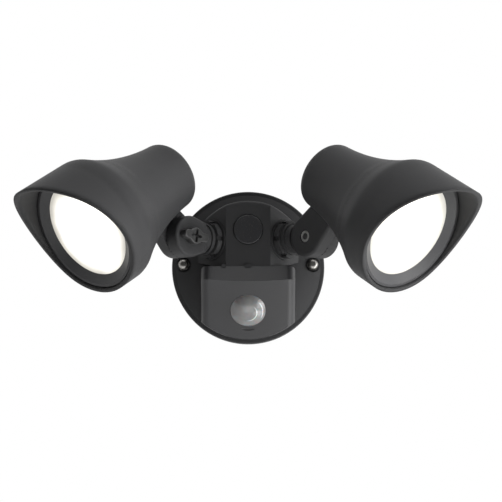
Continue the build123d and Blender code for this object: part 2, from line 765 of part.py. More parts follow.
# Arms
for arm in arms:
    with BuildPart() as arm_seal:
        with BuildSketch(stem_plane(arm, facet_seat_height)):
            Circle(washer_r)
            Circle(nipple_r + shaft_gap, mode=Mode.SUBTRACT)
        extrude(amount=seal_thickness)
    arm_seal.part.label = f"{arm.name}_arm_seal"
    export_step(arm_seal.part, f"parts/{arm.name}_arm_seal.step")

    with BuildPart() as lock_nut:
        with BuildSketch(stem_plane(arm, lock_nut_start)):
            Circle(lock_nut_r)
            with PolarLocations(lock_nut_r, lock_nut_notches):
                Rectangle(2 * notch_bite, notch_width, mode=Mode.SUBTRACT)
            Circle(nipple_r + shaft_gap, mode=Mode.SUBTRACT)
        extrude(amount=lock_nut_thickness)
    lock_nut.part.label = f"{arm.name}_lock_nut"
    export_step(lock_nut.part, f"parts/{arm.name}_lock_nut.step")

    mating_face = knuckle_plane(arm, -turn_gap / 2)
    with BuildPart() as stem:
        with BuildSketch(mating_face):  # toothed half of the knuckle, drawn out to the neck
            Circle(barrel_r)
            with Locations((neck_end - arm_reach, 0)):
                Rectangle(turn_gap, 2 * neck_r)
            make_hull()
        extrude(amount=-half_thickness)
        outer_face = stem.faces().sort_by_distance(mating_face.offset(-half_thickness).origin)[0]
        fillet(outer_face.edges(), barrel_round)
        with BuildSketch(stem_plane(arm, neck_start)):
            Circle(neck_r)
        extrude(amount=neck_end - neck_start)
        with BuildSketch(stem_plane(arm, neck_start)):
            Circle(neck_collar_r)
        extrude(amount=neck_collar_length)
        with BuildSketch(stem_plane(arm, -nipple_inside)):
            Circle(nipple_r)
        extrude(amount=nipple_inside + neck_start)
        with BuildSketch(stem_plane(arm, -nipple_inside)):
            Circle(nipple_bore_r)
        extrude(amount=nipple_inside + neck_end - canopy_wall, mode=Mode.SUBTRACT)
        with BuildSketch(mating_face):
            Circle(pocket_r)
            Circle(bolt_land_r, mode=Mode.SUBTRACT)
        extrude(amount=-pocket_depth, mode=Mode.SUBTRACT)
        with BuildSketch(stem_plane(arm, neck_end - 2 * canopy_wall)):
            with Locations((half_thickness / 2, 0)):
                Circle(wire_hole_r)
        extrude(amount=barrel_r - pocket_r + 3 * canopy_wall, mode=Mode.SUBTRACT)
        with BuildSketch(mating_face.offset(turn_gap)):
            Circle(bolt_r + shaft_gap)
        extrude(amount=-2 * half_thickness, mode=Mode.SUBTRACT)
        with Locations(mating_face):
            with PolarLocations((pocket_r + barrel_r) / 2, tooth_count):
                Box(tooth_length, tooth_side, tooth_side, rotation=(45, 0, 0), mode=Mode.SUBTRACT)
    stem.part.label = f"{arm.name}_stem"
    export_step(stem.part, f"parts/{arm.name}_stem.step")

    screw_seat = knuckle_plane(arm, -turn_gap / 2 - half_thickness)
    with BuildPart() as screw_washer:
        with BuildSketch(screw_seat):
            Circle(screw_washer_r)
            Circle(bolt_r + shaft_gap, mode=Mode.SUBTRACT)
        extrude(amount=-screw_washer_thickness)
    screw_washer.part.label = f"{arm.name}_screw_washer"
    export_step(screw_washer.part, f"parts/{arm.name}_screw_washer.step")

    wing_seat = screw_seat.offset(-screw_washer_thickness - seat_gap)
    wing_dir = arm.outward * cos(radians(wing_turn)) + Vector(0, 0, sin(radians(wing_turn)))
    wing_base = Plane(wing_seat.origin, x_dir=wing_dir, z_dir=wing_seat.z_dir)
    screw_length = 2 * half_thickness + screw_washer_thickness - nut_recess
    with BuildPart() as wing_screw:
        with BuildSketch(wing_base):
            with Locations((wing_tip_r - wing_span / 2, 0), (wing_span / 2 - wing_tip_r, 0)):
                Circle(wing_tip_r)
            make_hull()
            Circle(wing_boss_r)
        extrude(amount=-wing_height)
        wing_top = wing_base.offset(-wing_height)
        chamfer(wing_screw.faces().sort_by_distance(wing_top.origin)[0].edges(), wing_chamfer)
        with BuildSketch(wing_top):
            Rectangle(cross_length, cross_width)
            Rectangle(cross_width, cross_length)
        extrude(amount=cross_depth, mode=Mode.SUBTRACT)
        with BuildSketch(wing_base):
            Circle(bolt_r)
        extrude(amount=screw_length)
    wing_screw.part.label = f"{arm.name}_wing_screw"
    export_step(wing_screw.part, f"parts/{arm.name}_wing_screw.step")

    nut_plane = knuckle_plane(arm, turn_gap / 2 + half_thickness - nut_recess)
    with BuildPart() as knuckle_nut:
        with BuildSketch(nut_plane):
            Circle(nut_r)
        extrude(amount=-nut_height)
        chamfer(knuckle_nut.faces().sort_by_distance(nut_plane.origin)[0].edges(), nut_chamfer)
        with BuildSketch(nut_plane):
            Circle(bolt_r + shaft_gap)
        extrude(amount=-nut_height, mode=Mode.SUBTRACT)
    knuckle_nut.part.label = f"{arm.name}_knuckle_nut"
    export_step(knuckle_nut.part, f"parts/{arm.name}_knuckle_nut.step")

# Heads
for arm in arms:
    head_axis = Axis(arm.back, arm.axis)
    ear_face = knuckle_plane(arm, turn_gap / 2)
    with BuildPart() as head_shell:
        with BuildSketch(side_plane(arm)) as bell:
            with BuildLine():
                TangentArc((-back_crown, 0), (0, bell_back_r), tangent=(0, 1))
                ThreePointArc(*flare_points(0, shoulder_s))
                Polyline((shoulder_s, hood_r), (hood_tip_s, hood_r), (hood_tip_s, 0), (-back_crown, 0))
            make_face()
            fillet(bell.vertices().sort_by_distance((0, bell_back_r))[0], back_round)
            fillet(bell.vertices().sort_by_distance((shoulder_s, hood_r))[0], shoulder_round)
        revolve(axis=head_axis)
        add(ear_form(arm))
        with BuildSketch(side_plane(arm)):  # room for what the head holds
            with BuildLine():
                ledge_s = carrier_s - carrier_ledge
                Line((head_wall, 0), (head_wall, flare(head_wall, head_wall)))
                ThreePointArc(*flare_points(head_wall, ledge_s, head_wall))
                Polyline(
                    (ledge_s, flare(ledge_s, head_wall)),
                    (ledge_s, carrier_r - carrier_ledge),
                    (carrier_s, carrier_r - carrier_ledge),
                    (carrier_s, carrier_r),
                    (board_s, carrier_r),
                    (board_s, seat_r),
                    (lens_seat_s, seat_r),
                    (lens_seat_s, hood_bore_r),
                    (hood_tip_s + hood_wall, hood_bore_r),
                    (hood_tip_s + hood_wall, 0),
                    (head_wall, 0),
                )
            make_face()
        revolve(axis=head_axis, mode=Mode.SUBTRACT)
        with BuildSketch(side_plane(arm)):  # the hood's swept front edge
            with BuildLine():
                rim_s = lens_s + lip_ahead
                sweep_angle = degrees(asin((hood_r + cut_start + turn_gap) / cut_r))
                edge = CenterArc((rim_s + cut_r, -cut_start), cut_r, 180, -sweep_angle)
                Polyline(
                    edge @ 1,
                    (hood_tip_s + hood_r, (edge @ 1).Y),
                    (hood_tip_s + hood_r, -2 * hood_r),
                    (rim_s, -2 * hood_r),
                    edge @ 0,
                )
            make_face()
        extrude(amount=2 * hood_r, both=True, mode=Mode.SUBTRACT)
        with BuildSketch(ear_face):
            Circle(pocket_r)
            Circle(bolt_land_r, mode=Mode.SUBTRACT)
        extrude(amount=pocket_depth, mode=Mode.SUBTRACT)
        with BuildSketch(ear_face.offset(-turn_gap)):
            Circle(bolt_r + shaft_gap)
        extrude(amount=2 * half_thickness, mode=Mode.SUBTRACT)
        with BuildSketch(ear_face.offset(half_thickness - nut_recess - nut_height)):
            Circle(nut_r + shaft_gap)
        extrude(amount=2 * nut_height, mode=Mode.SUBTRACT)
        wire_offset = arm.up * (bolt_land_r + wire_hole_r / 2) - arm.lateral * (pocket_depth / 2 + turn_gap)
        wire_start = arm.hinge + wire_offset
        with BuildSketch(Plane(wire_start, x_dir=arm.lateral, z_dir=arm.up)):
            Circle(wire_hole_r)
        extrude(amount=hinge_drop - bell_back_r + wire_hole_r, mode=Mode.SUBTRACT)
        with Locations(ear_face):
            with PolarLocations((pocket_r + barrel_r) / 2, tooth_count):
                Box(tooth_length, tooth_side, tooth_side, rotation=(45, 0, 0), mode=Mode.SUBTRACT)
    head_shell.part.label = f"{arm.name}_head_shell"
    export_step(head_shell.part, f"parts/{arm.name}_head_shell.step")

    with BuildPart() as heat_spreader:
        with BuildSketch(cross_plane(arm, carrier_s)):
            Circle(carrier_r - seat_gap)
            with PolarLocations(board_screw_ring_r, board_screw_count):
                Circle(board_screw_r, mode=Mode.SUBTRACT)
        extrude(amount=carrier_thickness)
    heat_spreader.part.label = f"{arm.name}_heat_spreader"
    export_step(heat_spreader.part, f"parts/{arm.name}_heat_spreader.step")

    with BuildPart() as led_board:
        with BuildSketch(cross_plane(arm, board_s)):
            Circle(led_board_r)
            with PolarLocations(board_screw_ring_r, board_screw_count):
                Circle(board_screw_r + shaft_gap, mode=Mode.SUBTRACT)
        extrude(amount=led_board_thickness)
    led_board.part.label = f"{arm.name}_led_board"
    export_step(led_board.part, f"parts/{arm.name}_led_board.step")

    with BuildPart() as leds:
        with BuildSketch(cross_plane(arm, led_s)):
            with PolarLocations(led_ring_r, led_ring_count):
                Rectangle(led_side, led_side)
            with PolarLocations(led_inner_ring_r, led_inner_count):
                Rectangle(led_side, led_side)
        extrude(amount=led_height)
    leds.part.label = f"{arm.name}_leds"
    export_step(leds.part, f"parts/{arm.name}_leds.step")

    with BuildPart() as board_screws:
        with BuildSketch(cross_plane(arm, led_s)):
            with PolarLocations(board_screw_ring_r, board_screw_count):
                Circle(board_screw_head_r)
        extrude(amount=board_screw_head_height)
        with BuildSketch(cross_plane(arm, led_s)):
            with PolarLocations(board_screw_ring_r, board_screw_count):
                Circle(board_screw_r)
        extrude(amount=-board_screw_length)
    board_screws.part.label = f"{arm.name}_board_screws"
    export_step(board_screws.part, f"parts/{arm.name}_board_screws.step")

    mouth_s = lens_seat_s - seat_gap
    with BuildPart() as reflector:
        with BuildSketch(side_plane(arm)):
            with BuildLine():
                Polyline(
                    (led_s, reflector_foot_r),
                    (mouth_s, reflector_mouth_r),
                    (mouth_s, seat_r - seat_gap),
                    (mouth_s - reflector_wall, seat_r - seat_gap),
                    (mouth_s - reflector_wall, reflector_mouth_r),
                    (led_s, reflector_foot_r + reflector_wall),
                    close=True,
                )
            make_face()
        revolve(axis=head_axis)
    reflector.part.label = f"{arm.name}_reflector"
    export_step(reflector.part, f"parts/{arm.name}_reflector.step")

    with BuildPart() as lens_gasket:
        with BuildSketch(cross_plane(arm, lens_seat_s)):
            Circle(lens_r)
            Circle(lens_r - lens_gasket_width, mode=Mode.SUBTRACT)
        extrude(amount=lens_gasket_thickness)
    lens_gasket.part.label = f"{arm.name}_lens_gasket"
    export_step(lens_gasket.part, f"parts/{arm.name}_lens_gasket.step")

    with BuildPart() as lens:
        with BuildSketch(side_plane(arm)):
            with BuildLine():
                crown_r = bezel_eye_r - lens_crown
                TangentArc((lens_s + lens_crown, 0), (lens_s, crown_r), tangent=(0, 1))
                Polyline(
                    (lens_s, crown_r),
                    (lens_s, lens_r),
                    (lens_s - lens_thickness, lens_r),
                    (lens_s - lens_thickness, 0),
                    (lens_s + lens_crown, 0),
                )
            make_face()
        revolve(axis=head_axis)
    lens.part.label = f"{arm.name}_lens"
    export_step(lens.part, f"parts/{arm.name}_lens.step")

    with BuildPart() as bezel:
        with BuildSketch(side_plane(arm)):
            with BuildLine():
                Polyline(
                    (lens_s, bezel_eye_r),
                    (lens_s + bezel_height, bezel_mouth_r),
                    (lens_s + bezel_height, bezel_rim_r),
                    (lens_s + bezel_flange, bezel_rim_r),
                    (lens_s + bezel_flange, hood_bore_r - seat_gap),
                    (lens_s, hood_bore_r - seat_gap),
                    close=True,
                )
            make_face()
        revolve(axis=head_axis)
    bezel.part.label = f"{arm.name}_bezel"
    export_step(bezel.part, f"parts/{arm.name}_bezel.step")
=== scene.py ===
import json
import math

import bmesh
import bpy
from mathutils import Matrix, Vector


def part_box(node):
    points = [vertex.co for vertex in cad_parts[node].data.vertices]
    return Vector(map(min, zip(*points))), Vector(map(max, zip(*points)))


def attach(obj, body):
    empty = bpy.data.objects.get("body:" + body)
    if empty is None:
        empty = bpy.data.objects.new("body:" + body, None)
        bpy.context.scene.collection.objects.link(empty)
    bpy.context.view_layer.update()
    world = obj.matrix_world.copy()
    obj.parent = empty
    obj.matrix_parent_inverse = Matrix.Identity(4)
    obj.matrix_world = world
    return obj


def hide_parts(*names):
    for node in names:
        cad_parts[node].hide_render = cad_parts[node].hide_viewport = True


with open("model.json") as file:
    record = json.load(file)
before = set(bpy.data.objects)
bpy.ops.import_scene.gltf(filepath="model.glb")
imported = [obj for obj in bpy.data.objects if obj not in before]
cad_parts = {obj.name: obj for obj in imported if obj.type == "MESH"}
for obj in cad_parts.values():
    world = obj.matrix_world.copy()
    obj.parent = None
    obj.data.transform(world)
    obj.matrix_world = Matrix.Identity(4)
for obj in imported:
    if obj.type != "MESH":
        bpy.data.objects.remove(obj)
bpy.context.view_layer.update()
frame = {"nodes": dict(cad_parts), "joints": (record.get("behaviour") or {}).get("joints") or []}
scene = bpy.context.scene
nodes = frame["nodes"]
sides = {"left": -1, "right": 1}

# a long lens a little below the light, looking up at it
camera = {
    "aim": (0.0, -0.009, 0.0),
    "distance": 1.5,
    "elevation": -5.0,
    "moveRight": 0.0022,  # the camera stands this far right of the canopy's middle
    "moveUp": 0.0134,
    "focal": 138.3,
    "sensor": 36,
    "farthest": 60,
}


def setCamera():
    tilt = math.radians(camera["elevation"])
    look = Vector((0, math.cos(tilt), -math.sin(tilt)))
    right = Vector((1, 0, 0))
    up = right.cross(look)
    data = bpy.data.cameras.new("studioCamera")
    data.lens = camera["focal"]
    data.sensor_width = camera["sensor"]
    data.clip_end = camera["farthest"]
    made = bpy.data.objects.new("studioCamera", data)
    scene.collection.objects.link(made)
    beside = Vector(camera["aim"]) - look * camera["distance"] + right * camera["moveRight"]
    made.location = beside + up * camera["moveUp"]
    made.rotation_mode = "QUATERNION"
    made.rotation_quaternion = look.to_track_quat("-Z", "Y")
    scene.camera = made


setCamera()
scene.view_settings.view_transform = "Standard"
print("camera set")


def linear(hexColour):  # sRGB hex to linear RGBA
    parts = [int(hexColour.lstrip("#")[i:i + 2], 16) / 255 for i in (0, 2, 4)]
    return tuple(c / 12.92 if c <= 0.04045 else ((c + 0.055) / 1.055) ** 2.4 for c in parts) + (1.0,)


def newMaterial(name):
    made = bpy.data.materials.new(name)
    made.use_nodes = True
    made.node_tree.nodes.clear()
    return made, made.node_tree


def addNode(tree, kind, settings=None, links=None):  # a name or number of a socket, or else an attribute
    made = tree.nodes.new(kind)
    for name, value in (settings or {}).items():
        if isinstance(name, int) or name in made.inputs:
            made.inputs[name].default_value = value
        else:
            setattr(made, name, value)
    for name, source in (links or {}).items():
        tree.links.new(source, made.inputs[name])
    return made


def showShader(tree, shader):  # ends a material in this shader
    addNode(tree, "ShaderNodeOutputMaterial", links={"Surface": shader.outputs[0]})


def objectPlace(tree):  # coordinates that stay with the object
    return addNode(tree, "ShaderNodeTexCoord").outputs["Object"]


def calc(tree, operation, *values, kind="ShaderNodeMath", output=0):  # arithmetic on sockets and constants
    linked = {place: value for place, value in enumerate(values) if isinstance(value, bpy.types.NodeSocket)}
    fixed = {place: value for place, value in enumerate(values) if place not in linked}
    return addNode(tree, kind, {"operation": operation, **fixed}, linked).outputs[output]


def vectorCalc(tree, operation, *values, output="Vector"):
    return calc(tree, operation, *values, kind="ShaderNodeVectorMath", output=output)


def mapped(tree, value, start, end, low=0.0, high=1.0, blend="LINEAR"):  # start to end becomes low to high
    settings = {"From Min": start, "From Max": end, "To Min": low, "To Max": high}
    settings["interpolation_type"] = blend
    return addNode(tree, "ShaderNodeMapRange", settings, {"Value": value}).outputs["Result"]


def noise(tree, where, millimetres, detail):  # features are about this size
    settings = {"Scale": 1000 / millimetres, "Detail": detail}
    return addNode(tree, "ShaderNodeTexNoise", settings, {"Vector": where}).outputs["Fac"]


def twoTone(tree, factor, low, high, start=0.3, end=0.7):  # a colour that drifts between two hex values
    ramp = addNode(tree, "ShaderNodeValToRGB", links={"Fac": factor})
    for element, position, colour in zip(ramp.color_ramp.elements, (start, end), (low, high)):
        element.position = position
        element.color = linear(colour)
    return ramp.outputs["Color"]


def relief(tree, height, strength, distance, under=None):  # the normal of a surface with this relief
    links = {"Height": height} if under is None else {"Height": height, "Normal": under}
    settings = {"Strength": strength, "Distance": distance}
    return addNode(tree, "ShaderNodeBump", settings, links).outputs["Normal"]


# polyester powder coat baked on die-cast aluminium: an even dull charcoal with a faint orange peel
powderCoat = {
    "dark": "#303031",
    "light": "#363637",
    "roughness": (0.5, 0.6),
    "specular": 0.2,
    "peelMm": 1.3,  # orange peel is 0.8 mm across, drawn coarser so that it shows
    "peelHeight": 0.00004,
    "driftMm": 60,  # how slowly the shade drifts over a casting
    "gritMm": 0.5,
}

# the same coat on the heads, shaded softer at the shoulder: the real bell runs into its hood more gently
# than the solid's does. Distances are from the knuckle, which stays crisp.
softShoulder = {"radius": 0.008, "crispWithin": 0.04, "softBeyond": 0.06, "samples": 8}

# polycarbonate moulded in a spark-eroded tool: the same charcoal, a little sleeker, with a fine even grain
mouldedPc = {
    "dark": "#343435",
    "light": "#38383a",
    "roughness": (0.38, 0.46),
    "specular": 0.32,
    "peelMm": 0.7,  # the eroded grain is 0.1 mm, drawn coarser so that it shows
    "peelHeight": 0.00002,
    "driftMm": 45,
    "gritMm": 0.4,
}

# the plug comes from a polished tool, so its edge catches the light
polishedPc = {**mouldedPc, "roughness": (0.22, 0.3), "specular": 0.5, "peelHeight": 0.000005}

# EPDM rubber, pressed: dead black, dull
pressedEpdm = {
    "dark": "#171717",
    "light": "#1d1d1d",
    "roughness": (0.75, 0.9),
    "specular": 0.3,
    "peelMm": 2.0,
    "peelHeight": 0.00003,
    "driftMm": 20,
    "gritMm": 0.5,
}

# glass-filled PBT, moulded white for the driver's case and the reflectors
whitePbt = {
    "dark": "#dededa",
    "light": "#e8e8e4",
    "roughness": (0.45, 0.6),
    "specular": 0.5,
    "peelMm": 1.0,
    "peelHeight": 0.00001,
    "driftMm": 30,
    "gritMm": 0.5,
}

# solder mask on FR4 laminate: white under the light sources and green in the sensor
whiteMask = {**whitePbt, "dark": "#d6d8d6", "light": "#e4e6e4", "roughness": (0.25, 0.35)}
greenMask = {**whitePbt, "dark": "#0f4a2a", "light": "#14603a", "roughness": (0.25, 0.35)}

# what all cast, moulded and coated surfaces share
castGrain = {"driftDetail": 2.0, "peelDetail": 3.0, "gritDetail": 1.0, "strength": 0.5}


def makeGrained(name, values, crispAt=None):
    made, tree = newMaterial(name)
    where = objectPlace(tree)
    drift = noise(tree, where, values["driftMm"], castGrain["driftDetail"])
    peel = noise(tree, where, values["peelMm"], castGrain["peelDetail"])
    grit = noise(tree, where, values["gritMm"], castGrain["gritDetail"])
    under = None
    if crispAt:
        away = vectorCalc(tree, "DISTANCE", where, crispAt, output="Value")
        within, beyond = softShoulder["crispWithin"], softShoulder["softBeyond"]
        radius = mapped(tree, away, within, beyond, 0.0, softShoulder["radius"])
        soft = addNode(tree, "ShaderNodeBevel", {"samples": softShoulder["samples"]}, {"Radius": radius})
        under = soft.outputs["Normal"]
    height = calc(tree, "ADD", peel, grit)
    showShader(tree, addNode(
        tree, "ShaderNodeBsdfPrincipled", {"Specular IOR Level": values["specular"]},
        {
            "Base Color": twoTone(tree, drift, values["dark"], values["light"]),
            "Roughness": mapped(tree, peel, 0.0, 1.0, *values["roughness"]),
            "Normal": relief(tree, height, castGrain["strength"], values["peelHeight"], under),
        },
    ))
    return made


# zinc plate with a black passivate on steel: the metal shows through a little
blackZinc = {
    "dark": "#393939", "light": "#464646", "metallic": 0.6, "roughness": (0.4, 0.5),
    "lineMm": 0.5, "lineHeight": 0.00001, "stretch": (1, 1, 6),
}

# the same plate on the knuckle nut in a lighter tone, since the photograph shows it brighter
lighterBlackZinc = {**blackZinc, "dark": "#8e8e8c", "light": "#a0a09e"}

# bright zinc plate on pressed and turned steel
zincPlate = {
    "dark": "#b4b6ba", "light": "#cfd1d4", "metallic": 1.0, "roughness": (0.25, 0.4),
    "lineMm": 0.6, "lineHeight": 0.00001, "stretch": (1, 1, 8),
}

# dull nickel plate on turned brass
nickelPlate = {
    "dark": "#7c7a77", "light": "#9c9a96", "metallic": 1.0, "roughness": (0.3, 0.42),
    "lineMm": 0.8, "lineHeight": 0.000005, "stretch": (1, 1, 4),
}

# brass, turned and left bare
turnedBrass = {
    "dark": "#a98745", "light": "#c9a65c", "metallic": 1.0, "roughness": (0.2, 0.35),
    "lineMm": 0.4, "lineHeight": 0.00001, "stretch": (1, 5, 1),
}

# aluminium plate, milled and left bare
milledAluminium = {
    "dark": "#a8aaad", "light": "#c4c6c8", "metallic": 1.0, "roughness": (0.3, 0.45),
    "lineMm": 0.7, "lineHeight": 0.00001, "stretch": (8, 1, 1),
}

# what all metals share: fine lines left by the tool, and patches of a slightly different shade
toolMarks = {"lineDetail": 4.0, "patchMm": 6, "patchDetail": 2.0, "strength": 0.4}


def makeMetal(name, values):
    made, tree = newMaterial(name)
    where = objectPlace(tree)
    along = addNode(tree, "ShaderNodeMapping", {"Scale": values["stretch"]}, {"Vector": where}).outputs[0]
    lines = noise(tree, along, values["lineMm"], toolMarks["lineDetail"])
    patches = noise(tree, where, toolMarks["patchMm"], toolMarks["patchDetail"])
    showShader(tree, addNode(
        tree, "ShaderNodeBsdfPrincipled", {"Metallic": values["metallic"]},
        {
            "Base Color": twoTone(tree, patches, values["dark"], values["light"]),
            "Roughness": mapped(tree, lines, 0.0, 1.0, *values["roughness"]),
            "Normal": relief(tree, lines, toolMarks["strength"], values["lineHeight"]),
        },
    ))
    return made


def fromAxis(tree, where, middle, facing):  # distance from an axis, in metres
    away = vectorCalc(tree, "SUBTRACT", where, middle)
    across = vectorCalc(tree, "CROSS_PRODUCT", away, facing)
    return vectorCalc(tree, "LENGTH", across, output="Value")


# frosted polycarbonate lens, moulded with a satin inner face and lit from behind: an even white that greys
# a little at the rim
headLens = {
    "pitch": 30.0,
    "middle": "#fffdf6",
    "rim": "#f4efe4",
    "body": "#8a8a86",
    "glow": (2.2, 0.5),  # at the middle and at the rim
    "lower": 0.002,  # metres that the glow sits below the lens's middle
    "fadeFrom": 0.021,  # metres from the axis
    "fadeTo": 0.0375,
    "patchMm": 22,  # the frosting is uneven, so the fade wanders
    "patchDetail": 1.0,
    "patchDepth": 0.004,
    "pearlMm": 1.6,  # frosting is under 0.1 mm, drawn coarser so that it shows
    "pearlDetail": 2.0,
    "pearlStrength": 0.3,
    "pearlHeight": 0.00002,
    "roughness": 0.45,
    "specular": 0.3,
}


def glowAxis(side):  # where one lens glows brightest, a little below its middle, and the way it faces
    low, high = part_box(f"{side}_lens")
    sign = sides[side]
    tilt = math.radians(headLens["pitch"])
    diagonal = math.sqrt(0.5)  # the arms stand at 45 degrees
    flat = math.cos(tilt) * diagonal
    down = Vector((-sign * math.sin(tilt) * diagonal, math.sin(tilt) * diagonal, -math.cos(tilt)))
    return (low + high) / 2 + down * headLens["lower"], Vector((sign * flat, -flat, -math.sin(tilt)))


def makeLensMaterial(side):
    made, tree = newMaterial(f"{side}FrostedPolycarbonate")
    where = objectPlace(tree)
    patches = noise(tree, where, headLens["patchMm"], headLens["patchDetail"])
    wander = mapped(tree, patches, 0.0, 1.0, -headLens["patchDepth"], headLens["patchDepth"])
    radius = calc(tree, "ADD", fromAxis(tree, where, *glowAxis(side)), wander)
    fade = mapped(tree, radius, headLens["fadeFrom"], headLens["fadeTo"], blend="SMOOTHSTEP")
    frost = noise(tree, where, headLens["pearlMm"], headLens["pearlDetail"])
    showShader(tree, addNode(
        tree, "ShaderNodeBsdfPrincipled",
        {
            "Base Color": linear(headLens["body"]),
            "Roughness": headLens["roughness"],
            "Specular IOR Level": headLens["specular"],
        },
        {
            "Emission Color": twoTone(tree, fade, headLens["middle"], headLens["rim"], 0.0, 1.0),
            "Emission Strength": mapped(tree, fade, 0.0, 1.0, *headLens["glow"]),
            "Normal": relief(tree, frost, headLens["pearlStrength"], headLens["pearlHeight"]),
        },
    ))
    return made


# smoked polyethylene of the sensor's lens: milky mid grey and glossy, with the edges of two zones raised a
# little, and a painted highlight in light grey laid along one arc of each edge
sensorLens = {
    "dark": "#6e6e6e",
    "light": "#7a7a7a",
    # edge: the light grey of a painted highlight, laid into the colour along the zone edges
    "edge": "#d4d4d4",
    "middle": (0.0, -0.0375, -0.03465),  # a point on its axis
    "faceTilt": 30.0,
    "radius": 0.0133,
    # share of the radius, degrees below the right where the painted highlight is brightest, and its reach
    # either way
    "zones": (
        {"share": 0.5, "towards": 24.0, "reach": 80.0},
        {"share": 0.84, "towards": -8.0, "reach": 42.0},
    ),
    "fullPart": 3.0,  # the painted highlight and its ridge are at full strength over their reach divided by this
    "edgeHalf": 0.045,  # share of the radius
    "edgeStrength": 1.0,
    "edgeHeight": 0.00012,
    "mottleMm": 5.0,
    "mottleDetail": 1.0,
    "roughness": 0.3,
    "milky": 0.3,
    "milkyDepth": 0.002,
    "gloss": 0.5,
    "glossRoughness": 0.12,
}


def zoneRidgeAndHighlight(tree, away, share, zone):  # 1 along the arc of one zone's edge that takes the painted highlight and the ridge
    tilt, turn = math.radians(sensorLens["faceTilt"]), math.radians(zone["towards"])
    towards = (math.cos(turn), math.sin(turn) * math.sin(tilt), -math.sin(turn) * math.cos(tilt))
    off = calc(tree, "ABSOLUTE", calc(tree, "SUBTRACT", share, zone["share"]))
    ridge = mapped(tree, off, sensorLens["edgeHalf"], 0.0, blend="SMOOTHSTEP")
    along = vectorCalc(tree, "DOT_PRODUCT", away, towards, output="Value")
    cosine = calc(tree, "DIVIDE", along, calc(tree, "MULTIPLY", share, sensorLens["radius"]))
    ends, full = [math.cos(math.radians(zone["reach"] / part)) for part in (1, sensorLens["fullPart"])]
    near = mapped(tree, cosine, ends, full, blend="SMOOTHSTEP")
    return calc(tree, "MULTIPLY", ridge, near)


def makeSensorLensMaterial():
    made, tree = newMaterial("smokedPolyethylene")
    where = objectPlace(tree)
    tilt = math.radians(sensorLens["faceTilt"])
    radius = fromAxis(tree, where, sensorLens["middle"], (0, -math.cos(tilt), -math.sin(tilt)))
    share = calc(tree, "DIVIDE", radius, sensorLens["radius"])
    away = vectorCalc(tree, "SUBTRACT", where, sensorLens["middle"])
    inner, outer = [zoneRidgeAndHighlight(tree, away, share, zone) for zone in sensorLens["zones"]]
    # where the ridges rise and the painted highlight is laid
    ridgesAndHighlight = calc(tree, "MAXIMUM", inner, outer)
    mottle = noise(tree, where, sensorLens["mottleMm"], sensorLens["mottleDetail"])
    plain = twoTone(tree, mottle, sensorLens["dark"], sensorLens["light"])
    blend = {"data_type": "RGBA", 7: linear(sensorLens["edge"])}  # sockets 6 and 7 are its two colours: the lens's grey and the painted highlight
    colour = addNode(tree, "ShaderNodeMix", blend, {0: ridgesAndHighlight, 6: plain}).outputs[2]
    showShader(tree, addNode(
        tree, "ShaderNodeBsdfPrincipled",
        {
            "Roughness": sensorLens["roughness"],
            "Subsurface Weight": sensorLens["milky"],
            "Subsurface Scale": sensorLens["milkyDepth"],
            "Coat Weight": sensorLens["gloss"],
            "Coat Roughness": sensorLens["glossRoughness"],
        },
        {
            "Base Color": colour,
            "Normal": relief(tree, ridgesAndHighlight, sensorLens["edgeStrength"], sensorLens["edgeHeight"]),
        },
    ))
    return made


# silicone and yellow phosphor over each light source
phosphor = {"dark": "#e0c050", "light": "#f0d468", "dotMm": 1.0, "dotDetail": 2.0, "roughness": 0.35}


def makePhosphor():
    made, tree = newMaterial("yellowPhosphor")
    dots = noise(tree, objectPlace(tree), phosphor["dotMm"], phosphor["dotDetail"])
    colour = twoTone(tree, dots, phosphor["dark"], phosphor["light"])
    settings = {"Roughness": phosphor["roughness"]}
    showShader(tree, addNode(tree, "ShaderNodeBsdfPrincipled", settings, {"Base Color": colour}))
    return made


coat = makeGrained("powderCoatedAluminium", powderCoat)
polycarbonate = makeGrained("mouldedPolycarbonate", mouldedPc)
polished = makeGrained("polishedPolycarbonate", polishedPc)
epdm = makeGrained("pressedEpdmRubber", pressedEpdm)
pbt = makeGrained("mouldedWhitePbt", whitePbt)
boardWhite = makeGrained("whiteSolderMask", whiteMask)
boardGreen = makeGrained("greenSolderMask", greenMask)
darkZinc = makeMetal("blackZincPlatedSteel", blackZinc)
# the knuckle nut's plate, drawn in a lighter tone than the black zinc
nutZinc = makeMetal("lighterBlackZincSteel", lighterBlackZinc)
zinc = makeMetal("zincPlatedSteel", zincPlate)
nickel = makeMetal("nickelPlatedBrass", nickelPlate)
brass = makeMetal("turnedBrass", turnedBrass)
aluminium = makeMetal("milledAluminium", milledAluminium)
smoked = makeSensorLensMaterial()
phosphorYellow = makePhosphor()

finishes = {
    "canopy": coat, "wall_gasket": epdm, "mounting_bar": zinc, "mounting_studs": zinc, "cap_nuts": nickel,
    "earth_screw": brass, "blanking_plug": polished, "plug_seal": epdm, "led_driver": pbt,
    "sensor_cover": polycarbonate, "cover_screws": zinc, "pir_lens": smoked, "lens_holder": polycarbonate,
    "sensor_board": boardGreen, "pyro_sensor": nickel, "relay": polycarbonate,
    "dial_controls": polycarbonate, "time_dial": polycarbonate, "dusk_dial": polycarbonate,
}
headFinishes = {
    "arm_seal": epdm, "lock_nut": coat, "stem": coat, "screw_washer": darkZinc, "wing_screw": darkZinc,
    "knuckle_nut": nutZinc, "heat_spreader": aluminium, "led_board": boardWhite, "leds": phosphorYellow,
    "board_screws": zinc, "reflector": pbt, "lens_gasket": epdm, "bezel": polycarbonate,
}
jointsByName = {joint["name"]: joint for joint in frame["joints"]}
for side in sides:
    finishes.update({f"{side}_{name}": finish for name, finish in headFinishes.items()})
    finishes[f"{side}_lens"] = makeLensMaterial(side)
    knuckle = jointsByName[f"{side}_tilt"]["pos_m"]
    finishes[f"{side}_head_shell"] = makeGrained(f"{side}HeadPowderCoat", powderCoat, knuckle)
